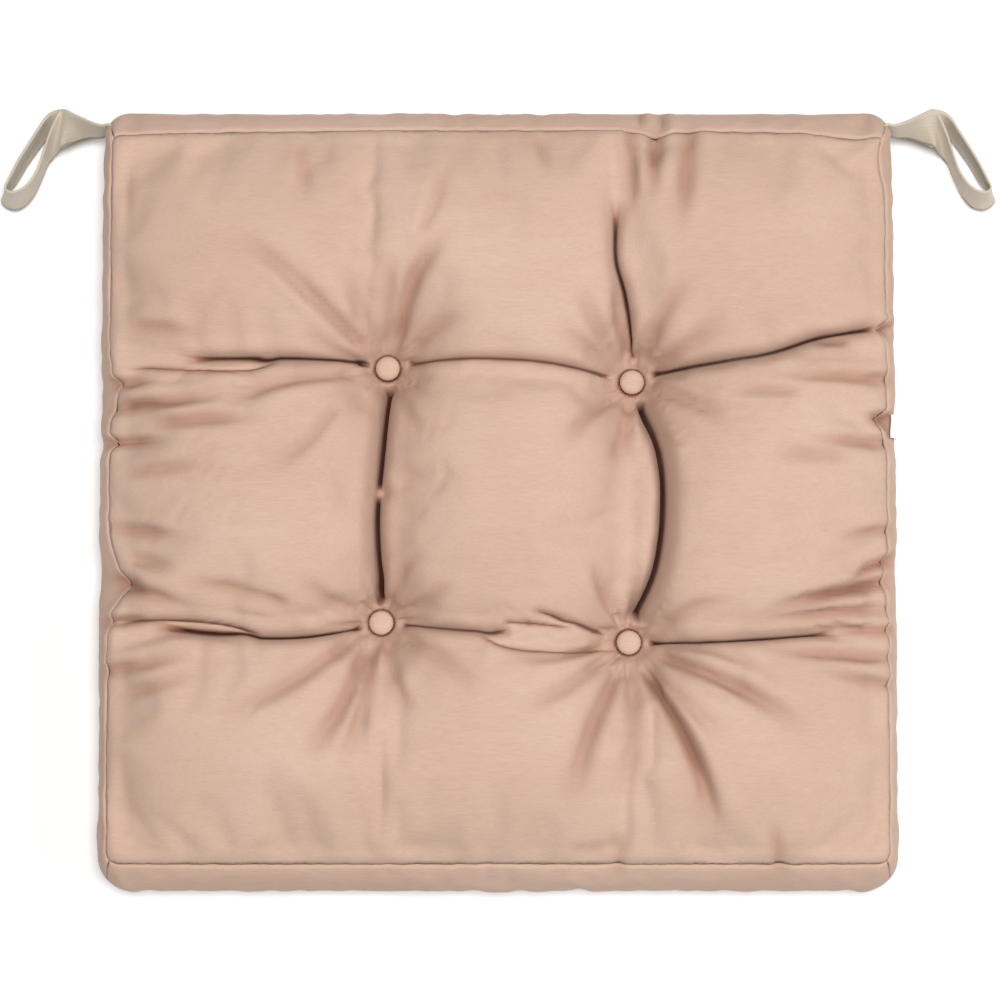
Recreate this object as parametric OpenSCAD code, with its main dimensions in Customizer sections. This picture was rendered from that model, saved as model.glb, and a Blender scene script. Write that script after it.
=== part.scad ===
// Tufted chair seat pad: a boxed fabric cover stuffed with fibre, pulled in by four
// covered buttons, with an elastic tape loop sewn into each rear corner.
// Frame: +Z up, +Y towards the chair back, origin under the middle of the pad.

/* [Pad] */
// Width over the side gussets
pad_w = 402; // [390:1:420]
// Depth over the front and rear gussets
pad_d = 396; // [386:1:412]
// Outer radius of the corners in plan
corner_r = 18; // [16:1:24]
// Height of the seam between the gusset and the bottom panel
low_seam_z = 8; // [7:0.5:9]
// Height of the seam between the gusset and the top panel
top_seam_z = 50; // [48:1:56]
// How far the middle of a gusset bulges past its seams
bulge = 9; // [7:0.5:10]
// How far the top panel rises above its seam
crown = 19; // [14:1:24]
// Thickness of the cover fabric
cloth_t = 1; // [0.8:0.1:1.2]

/* [Tufting] */
// Distance between the buttons from left to right
pitch_x = 126; // [116:2:136]
// Distance between the buttons from front to rear
pitch_y = 132; // [122:2:142]
// Height of the top panel where a button pulls it down
tuft_z = 38; // [34:1:42]
// Diameter of a covered button
button_d = 12.5; // [11:0.5:15]
// Height of a covered button
button_h = 4.6; // [4:0.1:5.5]
// Diameter of the flat button under the pad
anchor_d = 14; // [12:0.5:15]
// Diameter of the tufting twine
twine_d = 0.8; // [0.6:0.1:1]

/* [Loops] */
// Width of the elastic tape
tape_w = 20; // [18:1:22]
// Thickness of the elastic tape
tape_t = 1.1; // [0.9:0.1:1.3]
// Gap between a loop and the corner that it swings about
root_gap = 0.6; // [0.4:0.1:1]

/* [Hidden] */
CORNERS = ["rear_left", "rear_right", "front_left", "front_right"];
SIDES = ["left", "right"];
EDGES = ["front", "right", "rear", "left"];
$fn = 48;
e = 0.01;

VELVET = "#D6B49C";
VELVET_SIDE = "#C9A48B";
THREAD = "#C29A82";
FIBRE = "#F4F2EC";
STEEL = "#B9BCC0";
TAPE = "#E3DAC6";
ANCHOR = "#CDBBA6";
LABEL = "#F7F7F4";

// half sizes in plan, of the outline and of the two seams
half = [pad_w / 2, pad_d / 2];
seam_half = half - [bulge, bulge];
seam_r = corner_r - bulge;
mid_z = (top_seam_z + low_seam_z) / 2;
// the gusset's cross-section is an arc through both seams
arc_rise = (top_seam_z - low_seam_z) / 2;
arc_r = (arc_rise * arc_rise + bulge * bulge) / (2 * bulge);

// the rim of the bottom panel turns up to the low seam in a quarter circle
rim_r = low_seam_z;
flat_half = seam_half - [rim_r, rim_r];
flat_r = max(1, seam_r - rim_r);

// tufts
marks = [
    [-pitch_x / 2, pitch_y / 2], [pitch_x / 2, pitch_y / 2],
    [-pitch_x / 2, -pitch_y / 2], [pitch_x / 2, -pitch_y / 2]
];
// how far each button was tied off its mark, because they are pulled in by hand
stray = [[7, 1], [5, -6], [4, 4], [3, -6]];
stray_reach = 90;
button_spots = marks + stray;
tuft_flat_r = 12;
spot_line = 8.5;
tuft_reach = 34;
valley_drop = 9;
valley_reach = 12;
dimple_z = 8;
dimple_r = 22;
dimple_flat_r = 9;
twine_hole_r = 3;
fill_gap = 1;

// buttons
button_z = tuft_z + 0.2;
button_r = button_d / 2;
cover_t = 0.6;
shell_t = 0.4;
eye_r = 1.6;
eye_wire_r = 0.45;
eye_z = button_z - 1.5;
twine_bend_r = 1.6;
anchor_t = 2.2;
anchor_top_z = dimple_z - 0.2;

// corner that each loop swings about: just outside the corner seam, along the diagonal
diagonal = sqrt(0.5);
corner_out = corner_r * diagonal;
root = [half[0] - corner_r + corner_out + (tape_t + root_gap) * diagonal,
        half[1] - corner_r + corner_out + (tape_t + root_gap) * diagonal];
root_top_z = mid_z + tape_w / 2;

// ---------- helpers ----------

// Plan outline with rounded corners, of true arcs
module plate(h2, r, t) {
    linear_extrude(t) {
        square([2 * h2[0], 2 * (h2[1] - r)], center = true);
        square([2 * (h2[0] - r), 2 * h2[1]], center = true);
        for (sx = [-1, 1]) for (sy = [-1, 1])
            translate([sx * (h2[0] - r), sy * (h2[1] - r)]) circle(r);
    }
}

// A profile drawn at x = distance from the corner's centre, carried along one edge:
// half of each corner and the straight between them. edge_no counts from the front.
module edge_sweep(edge_no, h2, r) {
    along = (edge_no % 2 == 0) ? h2[0] - r : h2[1] - r;
    across = (edge_no % 2 == 0) ? h2[1] - r : h2[0] - r;
    rotate(edge_no * 90) {
        translate([along, -across, 0]) rotate([90, 0, -90]) linear_extrude(2 * along) children();
        translate([along, -across, 0]) rotate(-90) rotate_extrude(angle = 45) children();
        translate([-along, -across, 0]) rotate(-135) rotate_extrude(angle = 45) children();
    }
}

module all_round(h2, r) {
    for (k = [0:3]) edge_sweep(k, h2, r) children();
}

// Scale that takes a point of the square's edge onto a rounded outline
function rounding(q, h2, r) =
    let (p = [abs(q[0]) * h2[0], abs(q[1]) * h2[1]], c = h2 - [r, r])
    (p[0] <= c[0] || p[1] <= c[1]) ? 1 :
    let (pc = p * c, pp = p * p) (pc + sqrt(pc * pc - pp * (c * c - r * r))) / pp;

// Point in plan of the grid place u, v, both from -1 to 1
function in_plan(u, v, h2, r) =
    let (m = max(abs(u), abs(v)), k = m < e ? 1 : rounding([u, v] / m, h2, r))
    let (s = 1 - (1 - k) * pow(m, 6)) [u * h2[0] * s, v * h2[1] * s];

// Height of the quilted top at a grid place
function beside(d, w) = exp(-pow(d / w, 2));
function crowned(u, v) = sqrt(max(0, (1 - pow(abs(u), 5)) * (1 - pow(abs(v), 5))));
function valleys(p) = max([
    beside(abs(p[1]) - pitch_y / 2, valley_reach),
    beside(abs(p[0]) - pitch_x / 2, valley_reach) * (abs(p[1]) < pitch_y / 2 ? 1 : 0.3)
]);
function pull(p) = max([for (b = marks)
    exp(-pow(max(0, norm(p - b) - tuft_flat_r) / tuft_reach, 1.2))]);
function top_z(u, v, p) =
    let (c = crowned(u, v), w = pull(p))
    (top_seam_z + cloth_t + crown * c - valley_drop * valleys(p) * c) * (1 - w) + tuft_z * w;

// Places of the grid lines, closer together beside the buttons and the seam
function lines_for(spot, h) = [for (t = [
        -h, -h * 0.975, -h * 0.92, -h * 0.8, -h * 0.65, -spot - 26, -spot - 14, -spot - spot_line,
        -spot, -spot + spot_line, -spot + 14, -spot + 26, -spot / 4,
        spot / 4, spot - 26, spot - 14, spot - spot_line, spot,
        spot + spot_line, spot + 14, spot + 26, h * 0.65, h * 0.8, h * 0.92, h * 0.975, h
    ]) t / h];
us = lines_for(pitch_x / 2, seam_half[0]);
vs = lines_for(pitch_y / 2, seam_half[1]);
nu = len(us);
nv = len(vs);

// The cloth round each button goes with it when it strays from its mark
function strayed(p) = let (w = [for (m = marks)
    pow(max(0, 1 - pow(norm(p - m) / stray_reach, 2)), 2)]) p + w * stray;
function grid_points(h2, r, drop) = [for (v = vs) for (u = us)
    let (p = in_plan(u, v, h2, r), q = strayed(p)) [q[0], q[1], top_z(u, v, p) - drop]];
function grid_faces(start, up) = [for (j = [0:nv - 2]) for (i = [0:nu - 2]) for (h = [0, 1])
    let (a = start + j * nu + i, b = a + 1, c = a + nu + 1, d = a + nu)
    let (t = h == 0 ? [a, b, c] : [a, c, d]) up ? [t[2], t[1], t[0]] : t];
// numbers of the grid's outermost points, anticlockwise from the front left
rim_ids = concat([for (i = [0:nu - 2]) i], [for (j = [0:nv - 2]) j * nu + nu - 1],
    [for (i = [nu - 1:-1:1]) (nv - 1) * nu + i], [for (j = [nv - 1:-1:1]) j * nu]);
nr = len(rim_ids);

// ---------- cover ----------

module top_panel() {
    n = nu * nv;
    color(VELVET) difference() {
        polyhedron(
            concat(grid_points(seam_half, seam_r, 0), grid_points(seam_half, seam_r, cloth_t)),
            concat(grid_faces(0, true), grid_faces(n, false),
                [for (k = [0:nr - 1]) let (a = rim_ids[k], b = rim_ids[(k + 1) % nr]) [a, b, b + n]],
                [for (k = [0:nr - 1]) let (a = rim_ids[k], b = rim_ids[(k + 1) % nr]) [a, b + n, a + n]])
        );
        for (b = button_spots) translate([b[0], b[1], tuft_z - 4]) cylinder(r = twine_hole_r, h = 8);
    }
}

// Quarter ring that joins the flat sheet to the low seam
function rim_arc(r) = [for (a = [0:15:90]) [flat_r + r * sin(a), rim_r - r * cos(a)]];

module rim_profile() {
    inner = rim_arc(rim_r - cloth_t);
    polygon(concat(rim_arc(rim_r), [for (i = [len(inner) - 1:-1:0]) inner[i]]));
}

module dimple_profile() {
    polygon([
        [twine_hole_r, dimple_z], [dimple_flat_r, dimple_z], [dimple_r, 0],
        [dimple_r + 1, 0], [dimple_r + 1, cloth_t], [dimple_r + 0.4, cloth_t],
        [dimple_flat_r + 0.4, dimple_z + cloth_t], [twine_hole_r, dimple_z + cloth_t]
    ]);
}

module bottom_panel() {
    color(VELVET_SIDE) {
        difference() {
            plate(flat_half, flat_r, cloth_t);
            for (b = button_spots)
                translate([b[0], b[1], -1]) cylinder(r = dimple_r + 0.5, h = 4);
        }
        all_round(flat_half, flat_r) rim_profile();
        for (b = button_spots) translate([b[0], b[1], 0]) rotate_extrude() dimple_profile();
    }
}

// Distance from the corner's centre to a face of the gusset, at height z from its middle
function arc_x(z, r) = corner_r - arc_r + sqrt(r * r - z * z);
function gusset_arc(r) = [for (i = [-4:4]) let (z = arc_rise * sin(i * 22.5)) [arc_x(z, r), mid_z + z]];

module gusset_profile() {
    inner = gusset_arc(arc_r - cloth_t);
    polygon(concat(gusset_arc(arc_r), [for (i = [len(inner) - 1:-1:0]) inner[i]]));
}

// Slot in the corner seam that both ends of the loop's tape go through
module tape_slot() {
    for (s = [-1, 1]) translate([s * (half[0] - corner_r), half[1] - corner_r, mid_z])
        rotate(90 - s * 45) translate([corner_r, 0, 0])
            cube([24, 2 * tape_t + 0.4, tape_w + 0.6], center = true);
}

module gusset(k) {
    color(VELVET_SIDE) difference() {
        edge_sweep(k, half, corner_r) gusset_profile();
        tape_slot();
    }
}

// ---------- filling ----------

fill_r = 42;
fill_half = seam_half - [4, 4];

// Filling rings from the bottom up: how far each lies outside the filling's top edge, and height
FILL_RINGS = [[-6, cloth_t + 0.5], [0, low_seam_z - 0.5], [7, mid_z - 12], [bulge + 2, mid_z],
    [7, mid_z + 12]];

function ring_points(out, z) = [for (k = rim_ids)
    let (i = k % nu, j = floor(k / nu), h2 = fill_half + [out, out])
    let (p = in_plan(us[i], vs[j], h2, fill_r)) [p[0], p[1], z]];

module fibre_filling() {
    n = nu * nv;
    rings = len(FILL_RINGS);
    function id(ring, k) = ring == rings ? rim_ids[k % nr] : n + ring * nr + k % nr;
    color(FIBRE) difference() {
        polyhedron(
            concat(grid_points(fill_half, fill_r, cloth_t + fill_gap),
                [for (g = FILL_RINGS) each ring_points(g[0], g[1])]),
            concat(grid_faces(0, true), [[for (k = [0:nr - 1]) id(0, k)]],
                [for (g = [0:rings - 1]) for (k = [0:nr - 1]) [id(g, k), id(g + 1, k), id(g + 1, k + 1)]],
                [for (g = [0:rings - 1]) for (k = [0:nr - 1]) [id(g, k), id(g + 1, k + 1), id(g, k + 1)]])
        );
        for (b = button_spots) translate([b[0], b[1], 0]) {
            cylinder(r = twine_hole_r + 0.2, h = 90);
            cylinder(r1 = dimple_r + 4, r2 = dimple_flat_r + 1.5, h = dimple_z + cloth_t + 1);
        }
    }
}

// ---------- seams ----------

thread_r = 0.35;

module seam_thread(z) {
    color(THREAD) all_round(seam_half - [0.4, 0.4], seam_r - 0.4)
        translate([seam_r - 0.4, z]) circle(thread_r, $fn = 16);
}

// Lockstitches down the inside of each corner seam, in two runs that miss the tape
module corner_seam_threads() {
    for (sx = [-1, 1]) for (sy = [-1, 1]) translate([sx * (half[0] - corner_r), sy * (half[1] - corner_r), 0])
        rotate(atan2(sy, sx)) for (z = [mid_z - 17, mid_z - 14, mid_z + 11, mid_z + 14])
            translate([corner_r - 5 - pow((z - mid_z) / 7, 2), 0, z])
                color(THREAD) cylinder(r = thread_r, h = 2.4, $fn = 16);
}

// The opening that the filling went in by, closed by hand with slanting stitches
module closing_stitches() {
    stitches = 26;
    gap = 5;
    for (i = [0:stitches - 1])
        translate([(i - (stitches - 1) / 2) * gap, half[1] - bulge + 0.9, low_seam_z])
            rotate([0, 60, 0]) color(THREAD) cylinder(r = thread_r, h = 3.4, center = true, $fn = 16);
}

// ---------- covered buttons ----------

// Cloth cap: domed outside, turned in under the rim. Its inside fits the shell.
module button_cover() {
    dome_r = 15;
    color(VELVET) rotate_extrude() difference() {
        cap_shape(button_r, button_h, dome_r);
        cap_shape(button_r - cover_t, button_h - cover_t, dome_r - cover_t);
        square([button_r - 1.4, 0.9 + e]);
    }
}

// Half section of a low dome over a straight rim, from the axis outwards
module cap_shape(r, h, dome_r) {
    sag = dome_r - sqrt(dome_r * dome_r - r * r);
    intersection() {
        translate([0, cover_t]) square([r, h - cover_t]);
        translate([0, h - dome_r]) circle(dome_r, $fn = 96);
    }
    if (r == button_r) square([r, cover_t + e]);
    assert(sag < h, "the dome is too steep for the button");
}

module button_shell() {
    outer_r = button_r - cover_t - 0.1;
    top = button_h - cover_t - 0.1;
    dome_r = 14;
    color(STEEL) rotate_extrude() difference() {
        intersection() {
            translate([0, 1]) square([outer_r, top - 1]);
            translate([0, top - dome_r]) circle(dome_r, $fn = 96);
        }
        intersection() {
            square([outer_r - shell_t, top - shell_t]);
            translate([0, top - dome_r]) circle(dome_r - shell_t, $fn = 96);
        }
    }
}

// Pressed back plate with the wire eye that the twine goes through
module button_back() {
    color(STEEL) {
        translate([0, 0, 0.2]) cylinder(r = button_r - 1.5, h = 0.6);
        translate([0, 0, eye_z - button_z]) rotate([90, 0, 0])
            rotate_extrude() translate([eye_r, 0]) circle(eye_wire_r, $fn = 24);
    }
}

module at_button(k) {
    translate([button_spots[k][0], button_spots[k][1], button_z]) children();
}

// Two strands that hang from the eye, through the pad and the flat button, and a knot
module tufting_twine() {
    r = twine_d / 2;
    top = eye_z - button_z - eye_r;
    low = anchor_top_z - anchor_t - r - 0.2 - button_z;
    color(THREAD) {
        translate([0, 0, top]) rotate([90, 0, 90]) rotate_extrude(angle = 180)
            translate([twine_bend_r, 0]) circle(r, $fn = 24);
        for (s = [-1, 1]) translate([0, s * twine_bend_r, low]) cylinder(r = r, h = top - low, $fn = 24);
        translate([0, 0, low]) rotate([90, 0, 0])
            cylinder(r = r, h = 2 * twine_bend_r + twine_d, center = true, $fn = 24);
        translate([0, 0, low - 0.6]) sphere(1.1, $fn = 24);
    }
}

// Flat two-hole button that holds the twine under the pad
module anchor_button() {
    translate([0, 0, anchor_top_z - anchor_t - button_z]) color(ANCHOR) difference() {
        union() {
            cylinder(d = anchor_d, h = anchor_t - 0.6);
            cylinder(d = anchor_d - 2, h = anchor_t);
        }
        translate([0, 0, -e]) cylinder(d = anchor_d - 5, h = 0.6);
        for (s = [-1, 1]) translate([0, s * twine_bend_r, -1]) cylinder(r = 0.7, h = anchor_t + 2, $fn = 24);
    }
}

// ---------- loops ----------

// Stations along the tape, seen from the corner: where its upper edge is [outwards, to the
// rear, up], where its lower edge is from there in plan, and its layer (1 above, -1 below)
STEM = [
    [[1.5, -1.5, 10], [0.3, -0.3], 0], [[6, -1.6, 8.4], [2.5, -2.2], 0],
    [[12.5, 0.8, 6.2], [3.7, -4.8], 0], [[20.5, 5.2, 2], [3.4, -11.6], 0],
    [[27.8, 9, -3], [1.6, -17.6], 0]
];
OUTER_LEG = [
    [[27.8, 9, -3], [1.6, -17.6], -1], [[33.4, 8.2, -4.5], [0.4, -9], -1],
    [[37.4, 4.8, -5.5], [-0.9, -4.4], 0], [[40.5, 0.1, -6], [-0.9, -2], 0],
    [[45.6, -7.8, -6.5], [-0.9, -0.6], 0], [[50.9, -16.6, -6.5], [-0.4, -0.2], 0],
    [[55.4, -26, -5.5], [0.6, -0.4], 0]
];
TURN = [
    [[55.4, -26, -5.5], [0.6, -0.4], 0], [[57.4, -31, -5], [4.4, -1.6], 0],
    [[55.6, -33.2, -4.8], [6.2, -3.4], 0], [[52.4, -33.5, -4.8], [4.6, -6.2], 0],
    [[48.7, -31.8, -4.8], [2.8, -6.6], 0], [[45.1, -28.6, -5], [1.4, -4.2], 0]
];
INNER_LEG = [
    [[45.1, -28.6, -5], [1.4, -4.2], 0], [[41.7, -23.1, -5.5], [1.6, -2.9], 0],
    [[39.7, -18, -6], [1.4, -2.7], 0], [[38.1, -12.5, -6.3], [1.1, -3.3], 0],
    [[36.1, -6.6, -5.5], [0.2, -6], 0], [[34, -1.3, -4], [0, -10], 0],
    [[31.2, 4.1, -3], [0.6, -14.2], 1], [[27.8, 9, -3], [1.6, -17.6], 1]
];

// The two edges of the tape at a station
function edges_at(s) =
    let (a = s[0] + [0, 0, s[2] * tape_t * 0.75], drop = sqrt(tape_w * tape_w - s[1] * s[1]))
    [a, a + [s[1][0], s[1][1], -drop]];

module tape_run(stations, thick) {
    for (i = [0:len(stations) - 2]) hull()
        for (p = concat(edges_at(stations[i]), edges_at(stations[i + 1])))
            translate(p) sphere(d = thick, $fn = 8);
}

// The right-hand loop; the left-hand one is its mirror image
module loop_right() {
    color(TAPE) translate([root[0], root[1], mid_z]) {
        tape_run(STEM, 2 * tape_t);
        tape_run(OUTER_LEG, tape_t);
        tape_run(TURN, tape_t);
        tape_run(INNER_LEG, tape_t);
    }
}

// The part of both tape ends that is caught in the corner seam
module loop_sewn_ends_right() {
    color(TAPE) translate([half[0] - corner_r, half[1] - corner_r, mid_z]) rotate(45)
        translate([corner_r - 9.5, -tape_t, -tape_w / 2]) cube([9.4, 2 * tape_t, tape_w]);
}

// ---------- label ----------

label_w = 12;
label_y = 37;

// Folded blank label, sewn into the top seam and lying against the right gusset
module care_label() {
    color(LABEL) translate([0, label_y + label_w / 2, 0]) rotate([90, 0, 0]) linear_extrude(label_w)
        translate([half[0] - arc_r, mid_z]) intersection() {
            difference() {
                circle(arc_r + 0.9, $fn = 96);
                circle(arc_r + 0.3, $fn = 96);
            }
            polygon([[0, 0], [2 * arc_r, 4], [2 * arc_r, 2 * arc_rise], [26, arc_rise], [arc_r * 0.8, arc_rise - 1.5]]);
        }
}

// ---------- assembly ----------

top_panel();
bottom_panel();
for (k = [0:3]) gusset(k);
fibre_filling();
seam_thread(top_seam_z - 2.6);  // top_seam_thread
seam_thread(low_seam_z + 2.6);  // bottom_seam_thread
corner_seam_threads();
closing_stitches();
for (k = [0:3]) {
    at_button(k) button_cover();
    at_button(k) button_shell();
    at_button(k) button_back();
    at_button(k) tufting_twine();
    at_button(k) anchor_button();
}
for (k = [0:1]) mirror([k == 0 ? 1 : 0, 0, 0]) {
    loop_right();
    loop_sewn_ends_right();
}
care_label();
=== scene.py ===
import math
import random

import bmesh
import bpy
import numpy as np
from mathutils import Matrix, Vector
from mathutils.kdtree import KDTree


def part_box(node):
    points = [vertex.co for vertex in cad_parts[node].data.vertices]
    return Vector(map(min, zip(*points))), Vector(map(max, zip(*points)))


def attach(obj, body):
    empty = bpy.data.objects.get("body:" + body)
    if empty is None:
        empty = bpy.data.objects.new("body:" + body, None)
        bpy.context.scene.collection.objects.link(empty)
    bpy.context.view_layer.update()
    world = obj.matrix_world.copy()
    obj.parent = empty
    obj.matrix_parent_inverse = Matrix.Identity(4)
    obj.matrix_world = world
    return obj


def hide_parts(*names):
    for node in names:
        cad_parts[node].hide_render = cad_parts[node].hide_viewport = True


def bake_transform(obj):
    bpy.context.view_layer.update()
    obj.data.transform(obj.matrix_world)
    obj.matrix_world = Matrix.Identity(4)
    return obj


# A tufted chair seat pad: a boxed velvet cover stuffed with fibre, pulled in by four covered
# buttons, with an elastic tape loop sewn into each rear corner. Shapes are worked out in
# millimetres and written to the meshes in metres.

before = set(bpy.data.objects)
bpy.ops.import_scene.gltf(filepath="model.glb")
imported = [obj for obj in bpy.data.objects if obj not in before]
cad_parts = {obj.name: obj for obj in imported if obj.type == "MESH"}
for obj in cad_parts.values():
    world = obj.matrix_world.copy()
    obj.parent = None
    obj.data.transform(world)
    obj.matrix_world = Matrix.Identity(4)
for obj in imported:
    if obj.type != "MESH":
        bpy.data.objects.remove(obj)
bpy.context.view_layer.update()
MM = 0.001
CORNERS = ["rear_left", "rear_right", "front_left", "front_right"]

# ---------- sizes taken from the frame ----------


def box_mm(node):
    low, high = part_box(node)
    return np.array(low) / MM, np.array(high) / MM


def middle(node):
    low, high = box_mm(node)
    return (low + high) / 2


BUTTONS = {corner: middle("button_cover_" + corner) for corner in CORNERS}
BUTTON_LOW, BUTTON_HIGH = (box_mm("button_cover_rear_left")[i][2] for i in (0, 1))
BUTTON_R = np.diff(box_mm("button_cover_rear_left"), axis=0)[0][0] / 2
HALF_W = box_mm("gusset_right")[1][0]
HALF_D = box_mm("gusset_rear")[1][1]
TOP_SEAM_Z = box_mm("gusset_front")[1][2]
LOW_SEAM_Z = box_mm("gusset_front")[0][2]
LOW_HALF = box_mm("bottom_panel")[1][:2]
ANCHOR_TOP = box_mm("anchor_button_rear_left")[1][2]

# ---------- sizes of the cover ----------

CELLS = 88            # cells along each side of the top panel before it is smoothed
RINGS = 10            # rings of cells down the gusset
PANELS = ["top_panel", "gusset_front", "gusset_right", "gusset_rear", "gusset_left",
          "bottom_panel"]
# where each side's top seam lies, in from the middle of the pad
TOP_SEAM = {"left": 197.0, "right": 197.0, "front": 183.0, "rear": 185.5}
SEAM_BOW = 2.5        # how far the rear seam bows out in its middle
SEAM_R, WAIST_R, LOW_R = 8.0, 18.0, 9.0
REAR_SHARPER = 5.0    # how much tighter the rear corners are drawn by their loops
RIM_R = LOW_SEAM_Z
CROWN = 17.0          # rise of the top panel above its seam
PIT_Z = BUTTON_LOW - 0.2
LUMP = BUTTONS["rear_left"][:2] + [-3, -64]   # a pinch of cloth that bridges a tuck
CLOTH = 0.9

LUMP_Z = 45.0


def smooth(t):
    t = np.clip(t, 0, 1)
    return t * t * (3 - 2 * t)


def hump(t):
    """1 at 0, falling smoothly on both sides."""
    return np.exp(-t * t)


# ---------- the folds --------------------------

# Deep tucks start from a button: steps from its middle in plan, depth, half width, how far
# the bottom of the tuck leans to its left, and the length over which each end fades.
TUCKS = [
    ("rear_left", [(0, -9), (-3, -40), (-6, -80), (-3, -120)], 15, 11, 1.5, 7, 7),
    ("rear_right", [(4, -9), (14, -36), (16, -65), (12, -96), (1, -122)], 16, 12, -1.5, 8, 8),
    ("rear_left", [(9, 2), (45, 3), (80, 1), (115, -5)], 5, 8, 0, 5, 8),
    ("front_left", [(9, -1), (40, -4), (66, -5)], 6, 8, 0, 6, 10),
    ("front_right", [(-49, 16), (-32, 11), (-11, 3)], 5, 6, 0, 12, 7),
    ("front_right", [(-64, 10), (-47, 9), (-29, 7)], 4, 5, 0, 9, 9),
    ("front_right", [(-77, 4), (-60, -3), (-34, -5), (-10, -3)], 3.5, 6, 0, 14, 8),
    ("rear_left", [(-9, 2), (-45, 3), (-105, 3)], 8, 10, -1.0, 6, 26),
    ("rear_left", [(-54, 1), (-75, -3), (-130, -1)], 4, 6, 0, 12, 14),
    ("front_left", [(-9, -2), (-38, -7), (-70, -7), (-115, -3)], 9, 10, 1.0, 6, 26),
    ("front_left", [(-60, -6), (-80, -1), (-110, 1), (-138, -1)], 5, 7, 0, 12, 22),
    ("rear_right", [(9, 3), (48, 9), (70, 13), (95, 21), (124, 26)], 9, 11, 1.0, 6, 12),
    ("front_right", [(9, 0), (50, 1), (106, 5)], 8, 10, -1.0, 6, 22),
    ("rear_right", [(-9, 90), (-10, 62), (-5, 42), (0, 10)], 10, 11, 2.0, 26, 8),
]

# Folds that leave a button like spokes: heading in degrees (0 right, 90 rear), where they
# start, how long they are, how far they bend to their left, depth and half width.
SPOKES = [
    ("rear_left", 65, 9, 70, 5, 3.6, 7), ("rear_left", 75, 65, 45, -3, 1.6, 6),
    ("rear_left", 135, 9, 65, 2, 3.2, 6), ("rear_left", 140, 45, 60, -3, 2.2, 6),
    ("rear_left", 90, 9, 50, -2, 2.2, 6), ("rear_left", 30, 9, 45, 4, 1.8, 7),
    ("rear_left", 195, 12, 80, -5, 2.6, 6), ("rear_left", 220, 30, 55, 5, 1.8, 6),
    ("rear_left", 160, 10, 40, 2, 1.6, 5), ("rear_left", 300, 9, 35, -3, 1.4, 5),
    ("rear_left", 112, 9, 50, 2, 1.6, 6), ("front_left", 240, 9, 75, 5, 3.4, 7),
    ("front_left", 255, 9, 70, 3, 2.8, 6), ("front_left", 210, 9, 90, 4, 2.8, 7),
    ("front_left", 290, 9, 45, -3, 2.2, 6), ("front_left", 325, 9, 55, 3, 1.8, 7),
    ("front_left", 170, 45, 60, -3, 2.2, 6), ("front_left", 150, 9, 40, 3, 2.0, 6),
    ("front_left", 60, 9, 35, 3, 1.4, 5), ("front_left", 30, 9, 35, -2, 1.4, 5),
    ("rear_right", 98, 10, 45, 3, 2.6, 6), ("rear_right", 35, 9, 50, -3, 2.4, 8),
    ("rear_right", 60, 9, 55, 4, 2.6, 8), ("rear_right", 255, 9, 40, 3, 2.6, 6),
    ("rear_right", 225, 9, 45, -3, 2.4, 6), ("rear_right", 120, 9, 50, 3, 2.0, 6),
    ("rear_right", 150, 9, 40, -2, 1.6, 6), ("rear_right", 330, 10, 50, 4, 2.0, 6),
    ("rear_right", 345, 12, 45, -3, 1.4, 5), ("front_right", 294, 9, 104, 5, 5.0, 6.5),
    ("front_right", 333, 9, 95, 4, 3.8, 7), ("front_right", 250, 9, 85, -4, 3.4, 7),
    ("front_right", 268, 9, 75, 3, 2.4, 7), ("front_right", 210, 9, 60, 3, 2.2, 6),
    ("front_right", 112, 9, 40, 3, 2.2, 5), ("front_right", 88, 9, 40, -2, 2.0, 5),
    ("front_right", 185, 9, 60, 4, 1.8, 4), ("front_right", 315, 10, 60, -3, 2.0, 6),
    ("front_right", 20, 10, 50, 5, 1.8, 6), ("front_right", 350, 12, 60, 3, 1.8, 5),
]

# Pleats that come in from a side: the place along it, where the pleat starts and ends from
# the seam (below zero is down the gusset), how far it has drifted along the side by its
# inner end, depth and half width.
PLEATS = [
    ("right", 60, -10, 60, 2, 3.0, 4.5), ("right", 52, 44, 80, 2, 2.0, 4),
    ("right", 80, 18, 40, -1, 2.0, 4), ("right", 28, -8, 45, 1, 2.8, 4.5),
    ("right", 40, -10, 12, 2, 4.0, 4.5), ("right", 20, 18, 65, 2, 1.6, 5),
    ("right", -16, -8, 32, -5, 2.2, 4), ("right", -32, -12, 26, -12, 3.8, 4.5),
    ("right", -42, -12, 70, -18, 4.4, 5), ("right", -55, -8, 76, -9, 3.2, 4),
    ("right", -66, -10, 38, 0, 3.2, 3.5), ("right", -80, -8, 70, 6, 3.0, 4),
    ("right", -94, -8, 42, 11, 2.4, 4), ("right", 86, -12, 8, 0, 4.0, 4),
    ("left", 45, -8, 65, 7, 3.8, 5), ("left", 36, 20, 80, 5, 3.0, 5),
    ("left", 28, -12, 35, 1, 3.6, 3.5), ("left", 12, 6, 60, 6, 1.8, 5),
    ("left", -15, -4, 45, -6, 2.6, 4.5), ("left", -43, -14, 45, -13, 3.8, 6),
    ("left", -30, 4, 40, -5, 2.0, 5), ("left", -87, -8, 45, 11, 2.6, 5),
    ("left", 88, 8, 50, -8, 2.2, 6), ("left", 58, -10, 28, 2, 3.2, 4),
    ("left", -62, -10, 24, 2, 2.6, 4), ("left", -100, 4, 50, 14, 1.8, 5),
    ("rear", 67, -6, 50, 0, 2.6, 5), ("rear", 80, -8, 45, -5, 3.2, 5),
    ("rear", 97, -8, 60, -8, 2.8, 6), ("rear", 73, -20, 0, 1, 2.0, 3),
    ("rear", 84, -20, 2, -1, 2.0, 3), ("rear", -100, 4, 40, 4, 1.4, 5),
    ("rear", 20, 2, 30, 6, 1.4, 5), ("front", 60, -8, 24, -3, 1.2, 5),
    ("front", 140, -10, 30, -6, 1.6, 5),
]

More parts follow.
